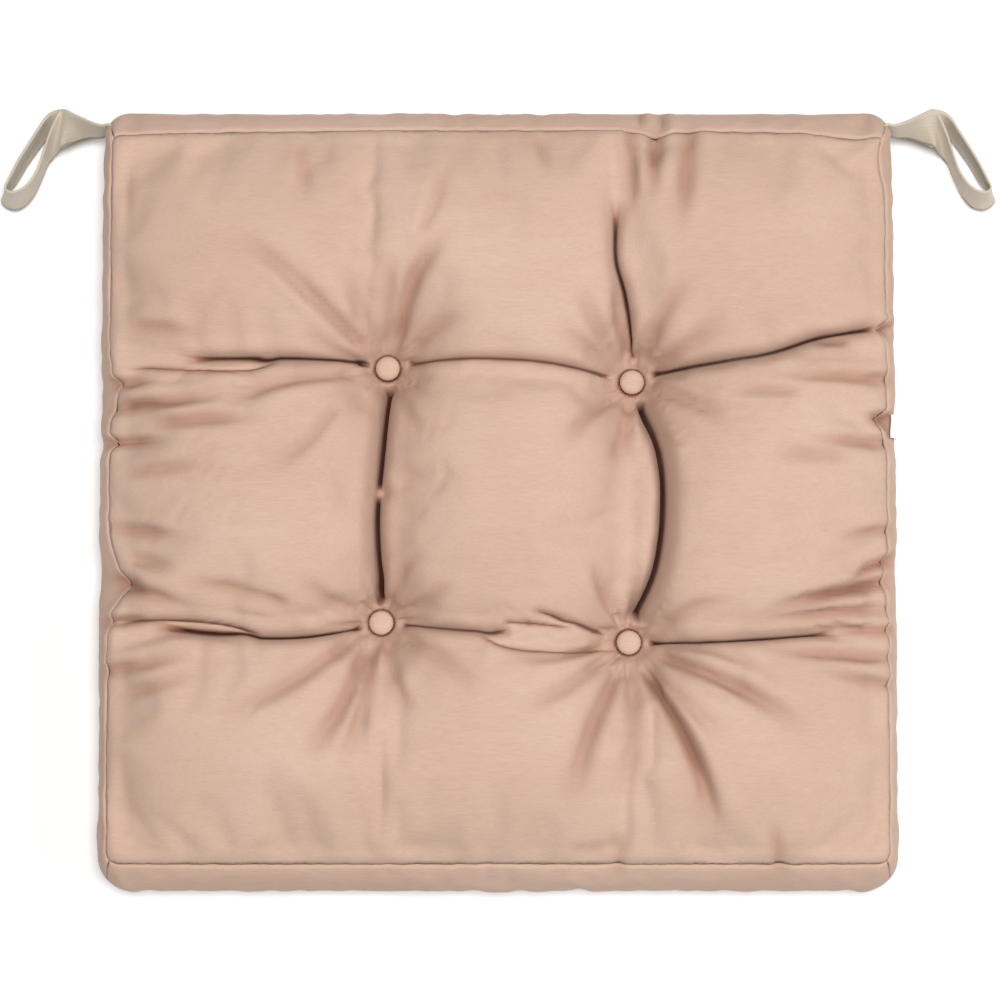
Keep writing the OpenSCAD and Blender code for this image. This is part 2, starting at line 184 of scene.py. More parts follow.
# Where a side's top seam is drawn in: the place along it, how far, and the half width.
NOTCHES = [
    ("left", 54, 5, 11), ("left", 29, 3, 4), ("left", -42, 9, 14),
    ("right", 85, 3, 4), ("right", 38, 3.5, 8), ("right", -40, 2.5, 12),
    ("rear", 80, 3, 9), ("rear", 178, 2.5, 14), ("right", 172, 3, 12),
]

# Patches of crushed cloth: middle, spread, how many small creases, and their heading.
CRUSHED = [
    ((-156, 2), (24, 20), 22, 35), ((108, 36), (22, 12), 18, 150), ((-150, 55), (26, 8), 8, 5),
    ((120, 44), (40, 14), 10, 175), ((34, -70), (26, 7), 9, 172), ((166, -60), (22, 16), 9, 12),
    ((-40, 12), (14, 26), 8, 80), ((86, -96), (26, 18), 8, 320), ((-90, -96), (30, 20), 8, 225),
]


def route(points, spacing=1.0):
    """A smooth line through a few points, with a sample every spacing."""
    points = [np.array(p, float) for p in points]
    if len(points) == 2:
        points.insert(1, (points[0] + points[1]) / 2)
    ends = [2 * points[0] - points[1], *points, 2 * points[-1] - points[-2]]
    line = []
    for before, a, b, after in zip(ends, ends[1:], ends[2:], ends[3:]):
        t = np.linspace(0, 1, 24, endpoint=False)[:, None]
        line.append(0.5 * (2 * a + (b - before) * t
                           + (2 * before - 5 * a + 4 * b - after) * t ** 2
                           + (3 * a - before - 3 * b + after) * t ** 3))
    line = np.vstack([*line, points[-1][None]])
    run = np.append(0, np.cumsum(np.linalg.norm(np.diff(line, axis=0), axis=1)))
    steps = np.linspace(0, run[-1], max(4, int(run[-1] / spacing) + 1))
    return np.stack([np.interp(steps, run, line[:, i]) for i in range(line.shape[1])], axis=1)


def heading(degrees):
    return np.array([math.cos(math.radians(degrees)), math.sin(math.radians(degrees))])


def tuck_line(button, steps):
    return route([BUTTONS[button][:2] + step for step in steps])


def spoke_line(button, degrees, start, length, bend):
    ahead = heading(degrees)
    left = np.array([-ahead[1], ahead[0]])
    root = BUTTONS[button][:2] + ahead * start
    return route([root, root + ahead * length / 2 + left * bend, root + ahead * length])


# ---------- the cover's net ----------


def side_of(u, v):
    """Which side each point of the net belongs to: 1 front, 2 right, 3 rear, 4 left."""
    return np.where(abs(v) >= abs(u), np.where(v < 0, 1, 3), np.where(u > 0, 2, 4))


def cover_net():
    """The closed skin of the cover as one net of even cells: a top, a gusset and a bottom.
    Its points keep their place in the net, from -1 to 1 both ways and down the gusset."""
    net = bmesh.new()
    bmesh.ops.create_grid(net, x_segments=CELLS, y_segments=CELLS, size=1)
    top = list(net.faces)
    under = bmesh.ops.duplicate(net, geom=top)
    under_faces = [g for g in under["geom"] if isinstance(g, bmesh.types.BMFace)]
    under_verts = [g for g in under["geom"] if isinstance(g, bmesh.types.BMVert)]
    rim = [e for f in top for e in f.edges if e.is_boundary]
    for _ in range(RINGS):
        ring = bmesh.ops.extrude_edge_only(net, edges=list(set(rim)))["geom"]
        verts = [g for g in ring if isinstance(g, bmesh.types.BMVert)]
        bmesh.ops.translate(net, verts=verts, vec=(0, 0, -1))
        for face in (g for g in ring if isinstance(g, bmesh.types.BMFace)):
            place = face.calc_center_median()
            face.material_index = int(side_of(place.x, place.y))
        rim = [g for g in ring if isinstance(g, bmesh.types.BMEdge) and g.is_boundary]
    bmesh.ops.translate(net, verts=under_verts, vec=(0, 0, -RINGS))
    for face in under_faces:
        face.material_index = 5
    bmesh.ops.remove_doubles(net, verts=net.verts, dist=1e-4)
    bmesh.ops.recalc_face_normals(net, faces=net.faces)
    layers = [net.verts.layers.float.new(name) for name in ("across", "along", "down", "under")]
    under_set = set(v for f in net.faces if f.material_index == 5 for v in f.verts)
    for v in net.verts:
        for layer, value in zip(layers, (v.co.x, v.co.y, -v.co.z, float(v in under_set))):
            v[layer] = value
    mesh = bpy.data.meshes.new("cover")
    net.to_mesh(mesh)
    net.free()
    return mesh


def values(mesh, name):
    out = np.empty(len(mesh.vertices), np.float32)
    mesh.attributes[name].data.foreach_get("value", out)
    return out.astype(float)


def points_of(mesh):
    out = np.empty(len(mesh.vertices) * 3, np.float32)
    mesh.vertices.foreach_get("co", out)
    return out.reshape(-1, 3).astype(float) / MM


def place(mesh, at):
    mesh.vertices.foreach_set("co", (at * MM).astype(np.float32).ravel())
    mesh.update()


def normals_of(mesh):
    mesh.update()
    out = np.empty(len(mesh.vertices) * 3, np.float32)
    mesh.vertex_normals.foreach_get("vector", out)
    return out.reshape(-1, 3).astype(float)


def rounded(x, y, half_x, half_y, radius):
    """Turns the corners of a rectangle into arcs, easing the points near them inwards."""
    s = np.clip((abs(x) - (half_x - radius)) / radius, 0, 1.2)
    t = np.clip((abs(y) - (half_y - radius)) / radius, 0, 1.2)
    both = (s > 0) & (t > 0)
    x2 = np.sign(x) * ((half_x - radius) + radius * s * np.sqrt(np.maximum(0, 1 - t * t / 2)))
    y2 = np.sign(y) * ((half_y - radius) + radius * t * np.sqrt(np.maximum(0, 1 - s * s / 2)))
    return np.where(both, x2, x), np.where(both, y2, y)


def to_line(x, y, start, end):
    """Distance of points from a straight line between two places in plan."""
    start, run = np.array(start[:2]), np.array(end[:2]) - np.array(start[:2])
    t = np.clip(((x - start[0]) * run[0] + (y - start[1]) * run[1]) / (run @ run), 0, 1)
    return np.hypot(x - start[0] - t * run[0], y - start[1] - t * run[1])


VALLEYS = [
    (BUTTONS["rear_left"], BUTTONS["front_left"], 12, 15),
    (BUTTONS["rear_right"], BUTTONS["front_right"], 13, 16),
    (BUTTONS["rear_left"], BUTTONS["rear_right"], 5, 13),
    (BUTTONS["front_left"], BUTTONS["front_right"], 6, 14),
    (BUTTONS["rear_left"], (-196, 70), 7, 13), (BUTTONS["front_left"], (-196, -66), 8, 13),
    (BUTTONS["rear_right"], (196, 84), 7, 13), (BUTTONS["front_right"], (196, -66), 7, 13),
    (BUTTONS["rear_right"], (62, 150), 5, 14),
]


def top_height(u, v, x, y):
    """The top panel before it is stuffed: a crown, valleys along the tucks, a pit at each
    button."""
    crown = ((1 - np.clip(abs(u), 0, 1) ** 3.2) * (1 - np.clip(abs(v), 0, 1) ** 3.2)) ** 0.62
    z = TOP_SEAM_Z + CROWN * crown
    for start, end, depth, width in VALLEYS:
        z = z - depth * crown * hump(to_line(x, y, start, end) / width)
    for button in BUTTONS.values():
        gap = np.hypot(x - button[0], y - button[1])
        pull = np.exp(-(np.maximum(gap - BUTTON_R, 0) / 15) ** 1.15)
        z = z * (1 - pull) + PIT_Z * pull
    return z


def laid_out(u, v, down, under):
    """Places in the frame, in millimetres, for points of the net."""
    level = np.clip(down / RINGS, 0, 1)
    belly = 4 * level * (1 - level)
    seam_x = np.where(u > 0, TOP_SEAM["right"], TOP_SEAM["left"])
    seam_y = np.where(v > 0, TOP_SEAM["rear"] + SEAM_BOW * (1 - u * u), TOP_SEAM["front"])
    half_x = seam_x * (1 - level) + LOW_HALF[0] * level
    half_y = seam_y * (1 - level) + LOW_HALF[1] * level
    half_x = half_x + belly * (HALF_W + 0.4 - (seam_x + LOW_HALF[0]) / 2)
    half_y = half_y + belly * (HALF_D + np.where(v > 0, 1.4, -0.8) - (seam_y + LOW_HALF[1]) / 2)
    radius = SEAM_R * (1 - level) + LOW_R * level + belly * (WAIST_R - (SEAM_R + LOW_R) / 2)
    radius = radius - REAR_SHARPER * smooth(v * 2) * (1 - level) * (0.6 + 2 * belly) / 1.6
    x, y = rounded(u * half_x, v * half_y, half_x, half_y, radius)
    top_z = top_height(u, v, x, y)
    side_z = TOP_SEAM_Z + (LOW_SEAM_Z - TOP_SEAM_Z) * level
    # the bottom panel: flat on the seat, its rim turned up to the seam
    edge = np.minimum((1 - abs(u)) * LOW_HALF[0], (1 - abs(v)) * LOW_HALF[1])
    curl = np.clip(RIM_R - edge, 0, RIM_R)
    low_z = RIM_R - np.sqrt(np.maximum(0, RIM_R ** 2 - curl ** 2))
    for button in BUTTONS.values():
        gap = np.hypot(x - button[0], y - button[1])
        low_z = low_z + (ANCHOR_TOP + 0.3) * (1 - smooth((gap - 8) / 13))
    z = np.where(under > 0.5, low_z, np.where(down < 0.01, top_z, side_z))
    return np.stack([x, y, z], axis=1)


# ---------- stuffing the cover ----------

STUFF_FRAMES = 20
STUFF_PRESSURE = 4.0
STUFF_CAP = 9.0       # how far a point may move while the cover is stuffed


def add(name, mesh):
    obj = bpy.data.objects.new(name, mesh)
    bpy.context.scene.collection.objects.link(obj)
    return obj


def settled(obj):
    """The object with its modifiers worked into a new mesh."""
    graph = bpy.context.evaluated_depsgraph_get()
    mesh = bpy.data.meshes.new_from_object(obj.evaluated_get(graph))
    obj.modifiers.clear()
    old, obj.data = obj.data, mesh
    bpy.data.meshes.remove(old)
    return mesh


def stuff(cover):
    """Blows the cover up from inside, held at its seams, its tufts and its flat underside."""
    mesh = cover.data
    before = points_of(mesh)
    u, v, down = (values(mesh, name) for name in ("across", "along", "down"))
    x, y = before[:, 0], before[:, 1]
    hold = np.zeros(len(before))
    for button in BUTTONS.values():
        hold = np.maximum(hold, 1 - smooth((np.hypot(x - button[0], y - button[1]) - 7) / 5))
    for start, end, depth, width in VALLEYS:
        hold = np.maximum(hold, 0.06 * depth * (1 - smooth((to_line(x, y, start, end) - 2) / 4)))
    on_seam = (np.maximum(abs(u), abs(v)) > 0.999) & ((down < 0.5) | (down > RINGS - 0.5))
    hold[(down > 0.5) & (down < RINGS - 0.5)] = 0.3
    hold[on_seam] = 1
    hold[values(mesh, "under") > 0.5] = 1
    group = cover.vertex_groups.new(name="held")
    for weight in np.unique(np.round(hold, 2)):
        if weight > 0:
            index = np.nonzero(np.round(hold, 2) == weight)[0]
            group.add([int(i) for i in index], float(weight), "REPLACE")
    cloth = cover.modifiers.new("stuffing", "CLOTH")
    cloth.settings.vertex_group_mass = group.name
    cloth.settings.quality = 5
    cloth.settings.mass = 0.3
    cloth.settings.tension_stiffness = cloth.settings.compression_stiffness = 12
    cloth.settings.bending_stiffness = 0.35
    cloth.settings.shrink_min = -0.035
    cloth.settings.use_pressure = True
    cloth.settings.uniform_pressure_force = STUFF_PRESSURE
    cloth.settings.effector_weights.gravity = 0
    cloth.point_cache.frame_start, cloth.point_cache.frame_end = 1, STUFF_FRAMES
    for number in range(1, STUFF_FRAMES + 1):
        bpy.context.scene.frame_set(number)
    mesh = settled(cover)
    bpy.context.scene.frame_set(1)
    after = points_of(mesh)
    move = after - before
    far = np.linalg.norm(move, axis=1, keepdims=True)
    after = before + move * np.minimum(1, STUFF_CAP / np.maximum(far, 1e-6))
    after[:, 2] = np.maximum(after[:, 2], 0)
    place(mesh, after)


# ---------- working folds into the cover ----------


def near(at, line, reach):
    """Points within reach of a line in plan: their numbers, their distance to its left
    (below zero to its right), how far along they are, and the way to its left."""
    low, high = line.min(axis=0) - reach, line.max(axis=0) + reach
    found = np.nonzero((at[:, :2] > low).all(axis=1) & (at[:, :2] < high).all(axis=1))[0]
    ahead = np.gradient(line, axis=0)
    ahead /= np.linalg.norm(ahead, axis=1, keepdims=True)
    gap = at[found, None, :2] - line[None]
    nearest = (gap ** 2).sum(axis=2).argmin(axis=1)
    gap, ahead = gap[np.arange(len(found)), nearest], ahead[nearest]
    left = np.stack([-ahead[:, 1], ahead[:, 0]], axis=1)
    beyond = (gap * ahead).sum(axis=1)
    off = (gap * left).sum(axis=1)
    run = np.append(0, np.cumsum(np.linalg.norm(np.diff(line, axis=0), axis=1)))
    keep = (abs(off) < reach) & (abs(beyond) < reach)
    return found[keep], off[keep], (run[nearest] + beyond)[keep], left[keep], run[-1]


def faded(run, length, first, last):
    return smooth(run / first + 0.15) * smooth((length - run) / last + 0.15)


def tuck(skin, line, depth, width, lean, first, last):
    """Draws cloth down into a deep tuck whose puffed lips almost meet."""
    found, off, run, left, length = near(skin["at"], line, width)
    keep = skin["top"][found] > 0
    found, off, run, left = found[keep], off[keep], run[keep], left[keep]
    strength = faded(run, length, first, last) * skin["top"][found]
    t = np.clip(abs(off) / width, 0, 1)
    gap = 0.18 * max(0, depth - 9.5) / width
    drop = (1 - smooth((t - 1.4 * gap) / (1 - 1.4 * gap))) ** 1.15
    lips = gap * np.minimum(t / 0.28, 1) + (1 - gap) * np.clip((t - 0.28) / 0.72, 0, 1) ** 1.5
    closed = t ** (1 + 1.25 * strength)
    squeezed = np.where(gap > 0.02, lips * strength + t * (1 - strength), closed) * width
    squeezed = squeezed * np.sign(off)
    lip = 0.11 * depth * hump((t - 0.62) / 0.24)
    shift = squeezed - off + lean * strength * drop ** 2
    skin["at"][found, :2] += left * shift[:, None]
    skin["at"][found, 2] += strength * (lip - depth * drop)
    # painted shade: how much darker the cover is coloured down in the tuck's slot and on its walls
    painted_shade = strength * (1 - smooth((t - 0.2) / 0.24)) * min(1, 0.35 + depth / 14)
    skin["painted_shade"][found] = np.maximum(skin["painted_shade"][found], painted_shade)


def fold(skin, line, depth, width, taper=0.5):
    """A soft valley with a raised side, along a line in plan."""
    found, off, run, left, length = near(skin["at"], line, width * 2.6)
    strength = smooth(run / (0.12 * length)) * smooth((length - run) / (taper * length))
    strength = strength * skin["top"][found]
    narrow = width * (0.55 + 0.45 * np.clip(run / length, 0, 1))
    rise = 0.42 * hump((off - 1.5 * narrow) / (0.8 * narrow))
    move = depth * strength * (rise - hump(off / (0.62 * narrow)))
    skin["at"][found] += skin["out"][found] * move[:, None]
    # painted shade: colour darkening along the valley of the fold
    painted_shade = 0.11 * depth * strength * hump(off / (0.9 * narrow))
    skin["painted_shade"][found] = np.maximum(skin["painted_shade"][found], painted_shade)


def pleat(skin, side, place_at, start, end, drift, depth, width):
    """A narrow fold square to a side, over the top panel or down the gusset."""
    number = ["front", "right", "rear", "left"].index(side) + 1
    inwards = skin["inwards"]
    found = np.nonzero((skin["side"] == number) & (skin["down"] < RINGS - 1)
                       & (inwards > start - 2) & (inwards < end + 2))[0]
    along = skin["at"][found, 0 if side in ("front", "rear") else 1]
    share = np.clip(inwards[found] / max(end, 1), -0.4, 1)
    off = along - (place_at + drift * share * (0.6 + 0.4 * share))
    near_it = abs(off) < width * 2.4
    found, off = found[near_it], off[near_it]
    run, length = inwards[found] - start, end - start
    strength = smooth(run / (0.3 * length) + 0.1) * smooth((length - run) / (0.5 * length))
    rise = 0.4 * hump((off - 1.35 * width) / (0.7 * width))
    move = depth * strength * (rise - hump(off / (0.55 * width)))
    skin["at"][found] += skin["out"][found] * move[:, None]
    # painted shade: colour darkening along the valley of the pleat
    painted_shade = 0.14 * depth * strength * hump(off / (0.75 * width))
    skin["painted_shade"][found] = np.maximum(skin["painted_shade"][found], painted_shade)


def wave(place_at, length, seed):
    """A smooth uneven wave from -1 to 1, the same on every run."""
    dice = random.Random(seed)
    total = 0
    for octave in (1.0, 0.61, 0.37, 1.7):
        total = total + np.sin(place_at / (length * octave) * 2 * math.pi + dice.uniform(0, 6.3)
                               + 1.3 * np.sin(place_at / (length * 3.1) + dice.uniform(0, 6.3)))
    return total / 3


def small_creases(skin):
    """Fine gathers round the buttons, crushed patches and puckers along the seams."""
    dice = random.Random(11)
    for name in CORNERS:
        for turn in range(26):
            degrees = turn * 360 / 26 + dice.uniform(-5, 5)
            line = spoke_line(name, degrees, BUTTON_R - 1, dice.uniform(12, 30),
                              dice.uniform(-1.5, 1.5))
            fold(skin, line, dice.uniform(0.5, 1.5), dice.uniform(1.8, 3.0), 0.8)
    for centre, spread, count, degrees in CRUSHED:
        for _ in range(count):
            ahead = heading(degrees + dice.uniform(-28, 28))
            start = np.array(centre) + [dice.uniform(-1, 1) * s for s in spread]
            length = dice.uniform(8, 22)
            left = np.array([-ahead[1], ahead[0]]) * dice.uniform(-2.5, 2.5)
            fold(skin, route([start, start + ahead * length / 2 + left, start + ahead * length]),
                 dice.uniform(0.3, 0.8), dice.uniform(1.5, 3.0))
    along = np.where((skin["side"] == 1) | (skin["side"] == 3),
                     skin["at"][:, 0], skin["at"][:, 1])
    seam_gap = abs(skin["inwards"])
    pucker = 0.26 * np.exp(-seam_gap / 6) * wave(along + 37 * skin["side"], 11, 3)
    low_gap = abs((RINGS - skin["down"]) * 4.6)
    pucker += 0.12 * np.exp(-low_gap / 5) * wave(along + 51 * skin["side"], 13, 4)
    dip = 0.7 * hump(seam_gap / 2.4) + 0.9 * hump(low_gap / 2.4)
    slack = 0.1 * wave(along + 20 * skin["side"], 74, 5) * smooth(skin["down"] / 3)
    slack = slack * smooth((RINGS - skin["down"]) / 3)
    skin["at"] += skin["out"] * ((pucker - dip + slack) * (skin["flat"] < 0.5))[:, None]


def notches(skin, share=1.0):
    """Draws the top seam in where the tucks pull on it."""
    for side, place_at, depth, width in NOTCHES:
        number = ["front", "right", "rear", "left"].index(side) + 1
        axis = 1 if side in ("left", "right") else 0
        inward = {"front": (0, 1), "right": (-1, 0), "rear": (0, -1), "left": (1, 0)}[side]
        off = skin["at"][:, axis] - place_at
        reach = np.where(skin["inwards"] > 0, 1 - smooth(skin["inwards"] / 26),
                         1 - smooth(-skin["inwards"] / 19))
        pull = share * depth * hump(off / width) * reach * (skin["side"] == number)
        skin["at"][:, :2] += pull[:, None] * np.array(inward)


def refine(cover, lines, reach):
    """Halves the cells near the folds, so that sharp ones come out sharp."""
    tree = KDTree(sum(len(line) for line in lines))
    for i, point in enumerate(np.vstack(lines)):
        tree.insert((point[0] * MM, point[1] * MM, 0), i)
    tree.balance()
    net = bmesh.new()
    net.from_mesh(cover.data)
    chosen = set()
    for face in net.faces:
        if face.material_index == 0:
            centre = face.calc_center_median()
            centre.z = 0
            if tree.find(centre)[2] < reach * MM:
                chosen.update(face.edges)
    bmesh.ops.subdivide_edges(net, edges=list(chosen), cuts=1, use_grid_fill=True)
    bmesh.ops.triangulate(net, faces=[f for f in net.faces if len(f.verts) > 4])
    net.to_mesh(cover.data)
    net.free()
    cover.data.update()


def worked(cover):
    """The stuffed cover with every fold, tuck and pleat worked into it."""
    tuck_lines = [tuck_line(t[0], t[1]) for t in TUCKS]
    spoke_lines = [spoke_line(*s[:5]) for s in SPOKES]
    strong = [line for line, spoke in zip(spoke_lines, SPOKES) if spoke[5] >= 3.8]
    refine(cover, tuck_lines + strong + [button[None, :2] for button in BUTTONS.values()], 9.8)
    mesh = cover.data
    u, v, down, under = (values(mesh, n) for n in ("across", "along", "down", "under"))
    edge = 1 - np.maximum(abs(u), abs(v))
    top = (down < 0.01) & (under < 0.5)
    skin = {
        "at": points_of(mesh), "out": normals_of(mesh), "side": side_of(u, v), "down": down,
        "inwards": np.where(top, edge * 190, -down * 4.6), "flat": under,
        "top": np.where(top, smooth(edge * 190 / 3 + 0.35), 0.0), "painted_shade": np.zeros(len(u)),
    }
    notches(skin)
    for (button, steps, *sizes), line in zip(TUCKS, tuck_lines):
        tuck(skin, line, *sizes)
    lump = hump(np.hypot(*(skin["at"][:, :2] - LUMP).T) / 3.6) * top
    skin["at"][:, 2] = skin["at"][:, 2] * (1 - lump) + LUMP_Z * lump
    # the lump stands up out of the tuck, so most of its painted shade is taken off
    skin["painted_shade"] = skin["painted_shade"] * (1 - 0.85 * lump)
    for (*_, depth, width), line in zip(SPOKES, spoke_lines):
        fold(skin, line, depth, width)
    for side, *sizes in PLEATS:
        pleat(skin, side, *sizes)
    place(mesh, skin["at"])
    skin["out"] = normals_of(mesh)
    small_creases(skin)
    for button in BUTTONS.values():
        gap = np.hypot(*(skin["at"][:, :2] - button[:2]).T)
        above = top & (gap < BUTTON_R + 4)
        sunk = PIT_Z - 0.3
        share = 1 - smooth((gap - BUTTON_R + 1.5) / 5)
        skin["at"][above, 2] = (skin["at"][:, 2] * (1 - share) + sunk * share)[above]
        # painted shade: a broad darkening over each button's pit and a thin dark ring where the
        # cloth meets the cap
        ring = 0.26 * hump(np.maximum(gap - BUTTON_R, 0) / 10)
        ring = np.maximum(ring, 0.9 * hump(np.maximum(gap - BUTTON_R, 0) / 1.3)) * top
        skin["painted_shade"] = np.maximum(skin["painted_shade"], ring)
    skin["at"][:, 2] = np.maximum(skin["at"][:, 2], 0)
    place(mesh, skin["at"])
    # the painted shade is kept as a point attribute that the velvet finish reads
    painted_shade = mesh.attributes.new("painted_shade", "FLOAT", "POINT")
    painted_shade.data.foreach_set("value", np.clip(skin["painted_shade"], 0, 1).astype(np.float32))
    return skin


SEAM_GAP = 0.3        # how far a panel's edge stands back from the stitching
HEM = 1.7             # how far a panel's edge turns in at a seam


def panel_piece(cover, number, name):
    """One panel of the cover, cut out along its seams, with its edges turned in."""
    net = bmesh.new()
    net.from_mesh(cover.data)
    bmesh.ops.delete(net, geom=[f for f in net.faces if f.material_index != number],
                     context="FACES")
    rim = [e for e in net.edges if e.is_boundary]
    rim_verts = set(v for e in rim for v in e.verts)
    shifts = {}
    for v in rim_verts:
        inner = [e.other_vert(v).co - v.co for e in v.link_edges if not e.is_boundary]
        if inner:
            shifts[v] = sum(inner, Vector()).normalized() * SEAM_GAP * MM
    for v, shift in shifts.items():
        v.co += shift
    net.normal_update()
    turned = {v: v.normal.copy() for v in rim_verts}
    hem = bmesh.ops.extrude_edge_only(net, edges=rim)["geom"]
    for v in (g for g in hem if isinstance(g, bmesh.types.BMVert)):
        near_verts = [e.other_vert(v) for e in v.link_edges]
        source = next((n for n in near_verts if n in turned), None)
        if source is not None:
            v.co -= turned[source] * HEM * MM
            v.co += shifts.get(source, Vector()) * 1.6
    for face in net.faces:
        face.material_index = 0
        face.smooth = True
    mesh = bpy.data.meshes.new(name)
    net.to_mesh(mesh)
    net.free()
    piece = add(name, mesh)
    wall = piece.modifiers.new("cloth", "SOLIDIFY")
    wall.thickness, wall.offset = CLOTH * MM, -1
    return piece


FILLING_LOW = 26.0    # the tucks press the fibre down no further than this


def filling_piece(mesh_source):
    """The fibre filling, a little smaller than the cover, with the tucks pressed into it."""
    mesh = mesh_source.copy()
    at = points_of(mesh)
    down, under = values(mesh, "down"), values(mesh, "under")
    top = (down < 0.01) & (under < 0.5)
    u, v = values(mesh, "across"), values(mesh, "along")
    edge = 1 - np.maximum(abs(u), abs(v))
    notches({"at": at, "side": side_of(u, v), "inwards": np.where(top, edge * 190, -down * 4.6)},
            1.25)
    for button, steps, depth, width, lean, first, last in TUCKS:
        found, off, run, left, length = near(at, tuck_line(button, steps), width * 1.5)
        drop = (depth + 3.5) * (1 - smooth(abs(off) / (1.5 * width)))
        at[found, 2] -= drop * top[found]
    for *spoke, depth, width in SPOKES:
        found, off, run, left, length = near(at, spoke_line(*spoke), width * 1.6)
        drop = (0.7 * depth + 0.6) * (1 - smooth(abs(off) / (1.6 * width)))
        at[found, 2] -= drop * top[found]
    at[:, 2] = np.where(top, np.maximum(at[:, 2], FILLING_LOW), at[:, 2])
    place(mesh, at)
    by_seam = hump(np.where(top, edge * 190, down * 4.6) / 16) * (under < 0.5)
    at = at - normals_of(mesh) * (4.0 + 1.2 * top + 4.0 * by_seam)[:, None]
    for button in BUTTONS.values():
        gap = np.hypot(at[:, 0] - button[0], at[:, 1] - button[1])
        share = 1 - smooth((gap - 10) / 10)
        lid = np.minimum(at[:, 2], 33)
        at[:, 2] = np.where(top, at[:, 2] * (1 - share) + lid * share, at[:, 2])
    for polygon in mesh.polygons:
        polygon.material_index = 0
        polygon.use_smooth = True
    place(mesh, at)
    return add("stuffed_fibre", mesh)


# ---------- threads, buttons and tape ----------


def thread_tube(name, line, radius, closed):
    """A thread along a line, as a mesh tube with closed ends."""
    curve = bpy.data.curves.new(name, "CURVE")
    curve.dimensions, curve.bevel_depth, curve.bevel_resolution = "3D", radius * MM, 1
    curve.use_fill_caps = True
    spline = curve.splines.new("POLY")
    spline.points.add(len(line) - 1)
    for point, place_at in zip(spline.points, line):
        point.co = (*(place_at * MM), 1)
    spline.use_cyclic_u = closed
    tube = bpy.data.objects.new(name, curve)
    bpy.context.scene.collection.objects.link(tube)
    mesh = bpy.data.meshes.new_from_object(
        tube.evaluated_get(bpy.context.evaluated_depsgraph_get()))
    bpy.data.objects.remove(tube)
    for polygon in mesh.polygons:
        polygon.use_smooth = True
    mesh.name = name
    return add(name, mesh)


def seam_line(cover, skin, level, inset):
    """The run of a seam round the cover, a little inside it."""
    on = (abs(skin["down"] - level) < 0.01) & (skin["edge"] < 1e-4)
    if level == 0:
        on &= skin["flat"] < 0.5
    at = skin["at"][on]
    order = np.argsort(np.arctan2(at[:, 1], at[:, 0]))
    line = at[order]
    line[:, 0] -= np.sign(line[:, 0]) * inset
    line[:, 1] -= np.sign(line[:, 1]) * inset
    return line


def button_cap(name, spot):
    """A covered button: a low dome of the cover fabric, gathered under its rim."""
    r, rise = BUTTON_R - 0.1, BUTTON_HIGH - BUTTON_LOW
    profile = [(0, rise), (0.34 * r, rise - 0.08), (0.62 * r, rise - 0.38), (0.83 * r, rise - 0.95),
               (0.955 * r, rise - 1.75), (r, rise - 2.7), (0.965 * r, 0.95), (0.85 * r, 0.3),
               (0.6 * r, 0.05), (0.35 * r, 0.05)]
    net = bmesh.new()
    verts = [net.verts.new((x, 0, z)) for x, z in profile]
    edges = [net.edges.new(pair) for pair in zip(verts, verts[1:])]
    bmesh.ops.spin(net, geom=verts + edges, cent=(0, 0, 0), axis=(0, 0, 1), angle=2 * math.pi,
                   steps=96, use_merge=True)
    bmesh.ops.remove_doubles(net, verts=net.verts, dist=1e-4)
    bmesh.ops.recalc_face_normals(net, faces=net.faces)
    dice = random.Random(name)
    start = dice.uniform(0, 6.3)
    for v in net.verts:
        radius = math.hypot(v.co.x, v.co.y)
        turn = math.atan2(v.co.y, v.co.x)
        share = float(smooth((radius / r - 0.8) / 0.2))
        gather = 0.10 * share * math.sin(24 * turn + start + 0.7 * math.sin(3 * turn))
        v.co.x *= 1 + gather / max(radius, 1)
        v.co.y *= 1 + gather / max(radius, 1)
        v.co.z += 0.1 * math.sin(turn + start) * radius / r * (1 if v.co.z > 1.5 else 0)
    bmesh.ops.scale(net, verts=net.verts, vec=(MM,) * 3)
    bmesh.ops.translate(net, verts=net.verts,
                        vec=Vector((spot[0], spot[1], BUTTON_LOW)) * MM)
    mesh = bpy.data.meshes.new(name)
    # painted shade: the cap's foot, under its rim and next to the cloth, is marked dark for the
    # velvet finish
    painted_shade = net.verts.layers.float.new("painted_shade")
    for v in net.verts:
        height = v.co.z / MM - BUTTON_LOW
        v[painted_shade] = 0.8 * float(1 - smooth(height / (0.45 * rise)))
    for face in net.faces:
        face.smooth = True
    net.to_mesh(mesh)
    net.free()
    cap = add(name, mesh)
    wall = cap.modifiers.new("cloth", "SOLIDIFY")
    wall.thickness, wall.offset = 0.5 * MM, -1
    return cap


# Stations along the right-hand tape, out from the corner: its upper edge (outwards, to the
# rear, up), where its lower edge is from there in plan, and its layer.
TAPE_W = 20.0
TAPE_T = 1.0
LAYER = 0.8
STEM = [((-4, -5, 10), (0, 0)), ((1.5, -1.5, 10), (0.3, -0.3)), ((6, -1.6, 8.4), (2.5, -2.2)),
        ((12.5, 0.8, 6.2), (3.7, -4.8)), ((20.5, 5.2, 2), (3.4, -11.6))]
FORK = ((27.8, 9, -3), (1.6, -17.6))
OUTER_LEG = [
    ((33.4, 8.2, -4.5), (0.4, -9)), ((37.4, 4.8, -5.5), (-0.9, -4.4)),
    ((40.5, 0.1, -6), (-0.9, -2)), ((45.6, -7.8, -6.5), (-0.9, -0.6)),
    ((50.9, -16.6, -6.5), (-0.4, -0.2)), ((55.4, -26, -5.5), (0.6, -0.4)),
]
TURN = [((57.4, -31, -5), (4.4, -1.6)), ((55.6, -33.2, -4.8), (6.2, -3.4)),
        ((52.4, -33.5, -4.8), (4.6, -6.2)), ((48.7, -31.8, -4.8), (2.8, -6.6))]
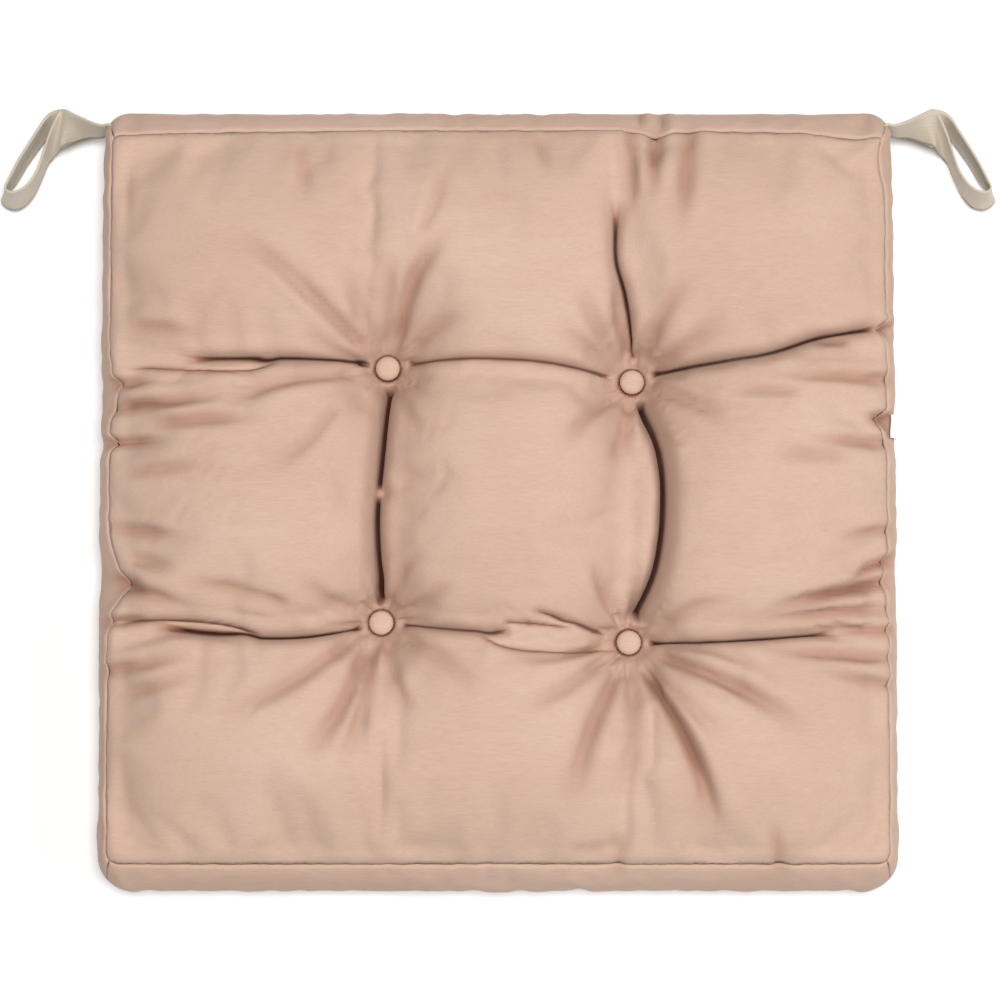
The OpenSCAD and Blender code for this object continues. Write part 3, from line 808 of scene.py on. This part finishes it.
INNER_LEG = [
    ((45.1, -28.6, -5), (1.4, -4.2)), ((41.7, -23.1, -5.5), (1.6, -2.9)),
    ((39.7, -18, -6), (1.4, -2.7)), ((38.1, -12.5, -6.3), (1.1, -3.3)),
    ((36.1, -6.6, -5.5), (0.2, -6)), ((34, -1.3, -4), (0, -10)),
    ((31.2, 4.1, -3), (0.6, -14.2)),
]
TAPE_ROOT = np.array([HALF_W, HALF_D, (TOP_SEAM_Z + LOW_SEAM_Z) / 2]) - [4.07, 4.07, 0]


def tape_stations():
    """The whole tape: out in the lower layer, round the eye and back in the upper one."""
    lower = [(*s, -1) for s in STEM] + [(*FORK, -1)]
    upper = [(*FORK, 1)] + [(*s, 1) for s in reversed(STEM)]
    legs = [(*s, -1 if i == 0 else 0) for i, s in enumerate(OUTER_LEG)]
    legs += [(*s, 0) for s in TURN]
    legs += [(*s, 0) for s in INNER_LEG[:-1]] + [(*INNER_LEG[-1], 1)]
    return lower + legs + upper


def tape_loop(name, hand):
    """One elastic tape loop. hand is 1 for the right-hand one and -1 for the left."""
    high, low = [], []
    for edge, lean, layer in tape_stations():
        top_edge = np.array(edge, float) + [0, 0, layer * LAYER]
        drop = math.sqrt(TAPE_W ** 2 - lean[0] ** 2 - lean[1] ** 2)
        high.append(top_edge)
        low.append(top_edge + [lean[0], lean[1], -drop])
    steps = 240
    high, low = (edge_run(e, steps) for e in (high, low))
    across = 10
    net = bmesh.new()
    bmesh.ops.create_grid(net, x_segments=steps, y_segments=across, size=0.5)
    uv = net.loops.layers.uv.new("UVMap")
    length = np.linalg.norm(np.diff((high + low) / 2, axis=0), axis=1).sum()
    for face in net.faces:
        for loop in face.loops:
            loop[uv].uv = ((loop.vert.co.x + 0.5) * length * MM, (loop.vert.co.y + 0.5)
                           * TAPE_W * MM)
    for v in net.verts:
        s, t = (v.co.x + 0.5) * (steps - 1), v.co.y + 0.5
        i = min(int(s), steps - 2)
        a = high[i] + (high[i + 1] - high[i]) * (s - i)
        b = low[i] + (low[i + 1] - low[i]) * (s - i)
        at = a + (b - a) * t
        at = at + [0, 0, 0.25 * math.sin(s / steps * 40) * math.sin(math.pi * t)]
        at = TAPE_ROOT + at
        v.co = Vector((hand * at[0], at[1], at[2])) * MM
    bmesh.ops.recalc_face_normals(net, faces=net.faces)
    for face in net.faces:
        face.smooth = True
    mesh = bpy.data.meshes.new(name)
    net.to_mesh(mesh)
    net.free()
    loop = add(name, mesh)
    wall = loop.modifiers.new("tape", "SOLIDIFY")
    wall.thickness, wall.offset = TAPE_T * MM, 0
    return loop, length


def edge_run(points, count):
    line = route(points, 0.5)
    pick = np.linspace(0, len(line) - 1, count)
    return np.stack([np.interp(pick, np.arange(len(line)), line[:, i]) for i in range(3)], axis=1)


def label_piece(skin):
    """A small folded satin label, caught in the top seam of the right-hand side and lying
    against the gusset."""
    low, high = box_mm("care_label")
    width, length = high[1] - low[1], 14.0
    middle_y = (low[1] + high[1]) / 2
    wall = skin["at"][(skin["side"] == 2) & (skin["flat"] < 0.5)
                      & (abs(skin["at"][:, 1] - middle_y) < 0.6 * width)]
    net = bmesh.new()
    bmesh.ops.create_grid(net, x_segments=10, y_segments=12, size=0.5)
    for v in net.verts:
        across, run = v.co.x, v.co.y + 0.5
        height = TOP_SEAM_Z - 1.2 - length * run
        out = wall[abs(wall[:, 2] - height) < 3.5][:, 0].max() + 0.55
        v.co = Vector((out + 0.25 * math.sin(across * 5), middle_y + across * width,
                       height)) * MM
    bmesh.ops.recalc_face_normals(net, faces=net.faces)
    for face in net.faces:
        face.smooth = True
    mesh = bpy.data.meshes.new("satin_label")
    net.to_mesh(mesh)
    net.free()
    label = add("satin_label", mesh)
    wall = label.modifiers.new("satin", "SOLIDIFY")
    wall.thickness, wall.offset = 0.3 * MM, 0
    return label, (width * MM, length * MM)


# ---------- finishes ----------


class Finish:
    """A material, and short ways to add nodes to it."""

    def __init__(self, name, **sockets):
        self.material = bpy.data.materials.new(name)
        self.material.use_nodes = True
        self.tree = self.material.node_tree
        self.shader = self.tree.nodes["Principled BSDF"]
        for socket, value in sockets.items():
            self.shader.inputs[socket.replace("_", " ")].default_value = value

    def node(self, kind, links=None, sockets=None, **settings):
        node = self.tree.nodes.new("ShaderNode" + kind)
        for key, value in settings.items():
            setattr(node, key, value)
        for key, value in (sockets or {}).items():
            node.inputs[key].default_value = value
        for key, source in (links or {}).items():
            self.tree.links.new(source, node.inputs[key])
        return node

    def place(self, scale, kind="Object"):
        coords = self.node("TexCoord").outputs[kind]
        return self.node("Mapping", {"Vector": coords}, {"Scale": scale}).outputs["Vector"]

    def noise(self, scale, detail=2.0, rough=0.5, kind="Object"):
        return self.node("TexNoise", {"Vector": self.place(scale, kind)},
                         {"Scale": 1.0, "Detail": detail, "Roughness": rough}).outputs["Fac"]

    def span(self, source, from_low, from_high, to_low, to_high):
        return self.node("MapRange", {"Value": source},
                         {"From Min": from_low, "From Max": from_high,
                          "To Min": to_low, "To Max": to_high}).outputs["Result"]

    def mix(self, factor, first, second, blend="MIX"):
        node = self.node("Mix", data_type="RGBA", blend_type=blend)
        for socket, value in ((0, factor), (6, first), (7, second)):
            if isinstance(value, bpy.types.NodeSocket):
                self.tree.links.new(value, node.inputs[socket])
            else:
                node.inputs[socket].default_value = value
        return node.outputs[2]

    def math(self, operation, first, second):
        node = self.node("Math", operation=operation)
        for i, value in enumerate((first, second)):
            if isinstance(value, bpy.types.NodeSocket):
                self.tree.links.new(value, node.inputs[i])
            else:
                node.inputs[i].default_value = value
        return node.outputs[0]

    def bump(self, height, strength, distance, over=None):
        links = {"Height": height}
        if over is not None:
            links["Normal"] = over
        return self.node("Bump", links, {"Strength": strength, "Distance": distance}
                         ).outputs["Normal"]

    def wear(self, socket, source):
        self.tree.links.new(source, self.shader.inputs[socket])


def colour(r, g, b):
    """A colour given from 0 to 255 as it looks on a screen."""
    def linear(c):
        c = c / 255
        return c / 12.92 if c <= 0.04045 else ((c + 0.055) / 1.055) ** 2.4
    return (linear(r), linear(g), linear(b), 1)


def velvet(name, grain):
    """Short-pile velvet whose fine streaks run along grain."""
    fine = {"x": (150, 1700, 1700), "y": (1700, 150, 1700)}[grain]
    broad = {"x": (24, 190, 190), "y": (190, 24, 190)}[grain]
    f = Finish(name, Sheen_Weight=0.14, Sheen_Roughness=0.42, Sheen_Tint=colour(255, 238, 226),
               Specular_IOR_Level=0.22, IOR=1.45)
    streak = f.noise(fine, 3, 0.6)
    band = f.noise(broad, 3, 0.55)
    cloud = f.noise((13, 13, 13), 4, 0.6)
    pile = f.noise((2600, 2600, 2600), 1)
    painted_shade = f.node("Attribute", attribute_name="painted_shade").outputs["Fac"]
    base = f.mix(f.span(cloud, 0.3, 0.7, 0, 1), colour(188, 157, 139), colour(196, 167, 150))
    base = f.mix(f.span(band, 0.35, 0.7, 0, 0.14), base, colour(178, 144, 124))
    base = f.mix(f.span(streak, 0.42, 0.75, 0, 0.18), base, colour(210, 185, 169))
    base = f.mix(f.span(streak, 0.5, 0.25, 0, 0.15), base, colour(164, 128, 108))
    scuff = f.noise((60, 300, 300) if grain == "x" else (300, 60, 300), 5, 0.7)
    base = f.mix(f.span(scuff, 0.62, 0.74, 0, 0.25), base, colour(218, 194, 178))
    # painted shade: creases, tucks, button pits and the foot of each button cap are coloured
    # rose-brown, and the deepest slots near black, in place of shade and warm bounce light there
    base = f.mix(f.span(painted_shade, 0, 0.5, 0, 0.8), base, colour(152, 108, 88))
    base = f.mix(f.span(painted_shade, 0.4, 0.9, 0, 1), base, colour(66, 27, 10))
    f.wear("Base Color", base)
    f.wear("Roughness", f.span(f.math("ADD", cloud, streak), 0.7, 1.3, 0.88, 0.70))
    crinkle = f.node("TexNoise", {"Vector": f.place((230, 230, 230))},
                     {"Scale": 1.0, "Detail": 3.0, "Distortion": 1.6}).outputs["Fac"]
    crinkle = f.math("MULTIPLY", crinkle, f.span(cloud, 0.5, 0.68, 0.15, 1))
    weave = f.bump(f.math("ADD", f.math("MULTIPLY", pile, 0.35), streak), 0.35, 0.00035)
    f.wear("Normal", f.bump(crinkle, 0.22, 0.0011, f.bump(band, 0.10, 0.0010, weave)))
    return f.material


def elastic():
    """Cream woven elastic: ribs along the tape and picks across it."""
    f = Finish("cream_elastic", Sheen_Weight=0.25, Sheen_Roughness=0.5, Specular_IOR_Level=0.3)
    rib = f.node("TexWave", {"Vector": f.place((0, 1, 0), "UV")},
                 {"Scale": 160.0, "Distortion": 0.0}, wave_type="BANDS",
                 bands_direction="Y").outputs["Fac"]
    pick = f.node("TexWave", {"Vector": f.place((1, 0, 0), "UV")},
                  {"Scale": 330.0, "Distortion": 0.6}, wave_type="BANDS",
                  bands_direction="X").outputs["Fac"]
    fuzz = f.noise((900, 900, 900), 2)
    cloud = f.noise((60, 60, 60), 3)
    base = f.mix(f.span(cloud, 0.3, 0.7, 0, 1), colour(190, 178, 159), colour(198, 188, 171))
    base = f.mix(f.math("MULTIPLY", rib, 0.22), base, colour(174, 159, 135))
    base = f.mix(f.span(fuzz, 0.55, 0.8, 0, 0.3), base, colour(208, 199, 182))
    f.wear("Base Color", base)
    f.wear("Roughness", f.span(fuzz, 0.3, 0.7, 0.65, 0.85))
    f.wear("Normal", f.bump(f.math("ADD", rib, f.math("MULTIPLY", pick, 0.5)), 0.3, 0.0002))
    return f.material


def spun(name, first, second, scale, twist=0.6, rough=(0.6, 0.8)):
    """Twisted yarn: slanting plies with a little fuzz."""
    f = Finish(name, Sheen_Weight=0.2, Sheen_Roughness=0.5, Specular_IOR_Level=0.3)
    ply = f.node("TexWave", {"Vector": f.place((1, 1, twist))},
                 {"Scale": scale, "Distortion": 1.0, "Detail": 1.0}, wave_type="BANDS",
                 bands_direction="DIAGONAL").outputs["Fac"]
    fuzz = f.noise((700, 700, 700), 3)
    f.wear("Base Color", f.mix(f.math("MULTIPLY", ply, fuzz), first, second))
    f.wear("Roughness", f.span(fuzz, 0.3, 0.7, rough[1], rough[0]))
    f.wear("Normal", f.bump(ply, 0.5, 0.0002))
    return f.material


def fibre():
    f = Finish("white_fibre", Sheen_Weight=0.5, Sheen_Roughness=0.6)
    strand = f.node("TexNoise", {"Vector": f.place((90, 60, 140))},
                    {"Scale": 1.0, "Detail": 8.0, "Roughness": 0.8, "Distortion": 2.5}
                    ).outputs["Fac"]
    f.wear("Base Color", f.mix(strand, colour(226, 224, 216), colour(250, 249, 246)))
    f.wear("Roughness", f.span(strand, 0.3, 0.7, 0.95, 0.8))
    f.wear("Normal", f.bump(strand, 0.8, 0.003))
    return f.material


def satin():
    f = Finish("white_satin", Sheen_Weight=0.3, Specular_IOR_Level=0.6)
    weft = f.noise((2500, 120, 2500), 2)
    f.wear("Base Color", f.mix(weft, colour(238, 238, 234), colour(252, 252, 250)))
    f.wear("Roughness", f.span(weft, 0.3, 0.7, 0.3, 0.5))
    f.wear("Normal", f.bump(weft, 0.3, 0.0001))
    return f.material


def pressed_metal():
    f = Finish("pressed_steel", Metallic=1.0)
    draw = f.noise((300, 300, 2200), 3)
    stain = f.noise((240, 240, 240), 4)
    f.wear("Base Color", f.mix(f.span(stain, 0.5, 0.8, 0, 0.6), colour(188, 190, 194),
                               colour(150, 146, 140)))
    f.wear("Roughness", f.span(draw, 0.3, 0.7, 0.24, 0.42))
    f.wear("Normal", f.bump(draw, 0.15, 0.0001))
    return f.material


def anchor_plastic():
    f = Finish("moulded_button", Specular_IOR_Level=0.5)
    cloud = f.noise((160, 160, 160), 5, 0.6)
    scratch = f.noise((2400, 200, 2400), 2)
    f.wear("Base Color", f.mix(cloud, colour(196, 176, 152), colour(216, 200, 178)))
    f.wear("Roughness", f.span(f.math("ADD", cloud, scratch), 0.7, 1.3, 0.28, 0.48))
    f.wear("Normal", f.bump(scratch, 0.1, 0.0001))
    return f.material


VELVET_X = velvet("rose_velvet", "x")
VELVET_Y = velvet("rose_velvet_sides", "y")
ELASTIC = elastic()
THREAD = spun("sewing_thread", colour(176, 134, 112), colour(214, 178, 156), 900)
TWINE = spun("tufting_twine", colour(188, 160, 132), colour(232, 214, 190), 700)
FIBRE = fibre()
SATIN = satin()
METAL = pressed_metal()
PLASTIC = anchor_plastic()

# ---------- making the pieces ----------


def dress(piece, finish, body, slot, *nodes):
    piece.data.materials.clear()
    piece.data.materials.append(finish)
    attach(piece, body)
    if nodes:
        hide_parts(*nodes)
    return piece


cover = add("cover", cover_net())
place(cover.data, laid_out(*(values(cover.data, n) for n in ("across", "along", "down", "under"))))
stuff(cover)
fill_mesh = cover.data.copy()
smoother = cover.modifiers.new("smoother", "SUBSURF")
smoother.levels = smoother.render_levels = 1
settled(cover)
skin = worked(cover)
skin["edge"] = 1 - np.maximum(abs(values(cover.data, "across")), abs(values(cover.data, "along")))

for number, node in enumerate(PANELS):
    grain = VELVET_Y if node in ("gusset_left", "gusset_right") else VELVET_X
    piece = panel_piece(cover, number, "velvet_" + node)
    dress(piece, grain, "pad", "velvet", node)

stuffed = dress(filling_piece(fill_mesh), FIBRE, "pad", "fibre", "fibre_filling")

for name, level, node in (("top_seam_stitching", 0, "top_seam_thread"),
                          ("bottom_seam_stitching", RINGS, "bottom_seam_thread")):
    line = seam_line(cover, skin, level, 1.6)
    dress(thread_tube(name, line, 0.25, True), THREAD, "pad", "thread", node)
bpy.data.objects.remove(cover)

for corner in CORNERS:
    cap = button_cap("velvet_cap_" + corner, BUTTONS[corner])
    dress(cap, VELVET_X, "pad", "velvet", "button_cover_" + corner)
    for part, finish in (("button_shell_", METAL), ("button_back_", METAL),
                         ("tufting_twine_", TWINE), ("anchor_button_", PLASTIC)):
        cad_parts[part + corner].material_slots[0].material = finish

for side, hand in (("right", 1), ("left", -1)):
    loop, tape_length = tape_loop("elastic_loop_" + side, hand)
    loop.data.materials.append(ELASTIC)
    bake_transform(loop)
    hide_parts("loop_" + side)
    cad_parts["loop_sewn_ends_" + side].material_slots[0].material = ELASTIC

label, label_flat = label_piece(skin)
dress(label, SATIN, "pad", "label", "care_label")

for node in ("corner_seam_threads", "closing_stitches"):
    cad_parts[node].material_slots[0].material = THREAD

# ---------- floor, light and camera ----------

floor_mesh = bpy.data.meshes.new("floor")
floor_net = bmesh.new()
bmesh.ops.create_grid(floor_net, x_segments=1, y_segments=1, size=24)
bmesh.ops.translate(floor_net, verts=floor_net.verts, vec=(0, 0, -0.0005))
floor_net.to_mesh(floor_mesh)
floor_net.free()
floor = add("floor", floor_mesh)
floor_finish = Finish("pale_floor", Roughness=0.9, Specular_IOR_Level=0.1)
floor_finish.wear("Base Color", floor_finish.mix(floor_finish.noise((3, 3, 3), 2),
                                                 (0.88, 0.88, 0.88, 1), (0.90, 0.90, 0.90, 1)))
floor_mesh.materials.append(floor_finish.material)


def soft_light(name, spot, aim, size, power):
    lamp = bpy.data.lights.new(name, "AREA")
    lamp.shape, lamp.size, lamp.energy = "DISK", size, power
    obj = bpy.data.objects.new(name, lamp)
    obj.location = spot
    obj.rotation_euler = (Vector(aim) - Vector(spot)).to_track_quat("-Z", "Y").to_euler()
    bpy.context.scene.collection.objects.link(obj)


soft_light("key", (2.7, -0.2, 2.5), (0, 0, 0.03), 1.3, 35)
soft_light("overhead", (0.1, 0.05, 2.6), (0, 0, 0), 0.9, 71)
world = bpy.data.worlds.new("studio")
bpy.context.scene.world = world
world.use_nodes = True
world.node_tree.nodes["Background"].inputs["Color"].default_value = (1, 0.94, 0.89, 1)
world.node_tree.nodes["Background"].inputs["Strength"].default_value = 0.12
bpy.context.scene.view_settings.view_transform = "Standard"
bpy.context.scene.view_settings.look = "None"

CAMERA_HEIGHT = math.radians(86.5)
CAMERA_REACH = 1.42
aim = Vector((0.001, 0.00075, 0.030))
lens = bpy.data.cameras.new("camera")
lens.sensor_width, lens.lens = 36, 100.2
lens.clip_start, lens.clip_end = 0.01, 50
camera = bpy.data.objects.new("camera", lens)
back = Vector((0, -math.cos(CAMERA_HEIGHT), math.sin(CAMERA_HEIGHT)))
camera.location = aim + back * CAMERA_REACH
camera.rotation_euler = (-back).to_track_quat("-Z", "Y").to_euler()
bpy.context.scene.collection.objects.link(camera)
bpy.context.scene.camera = camera
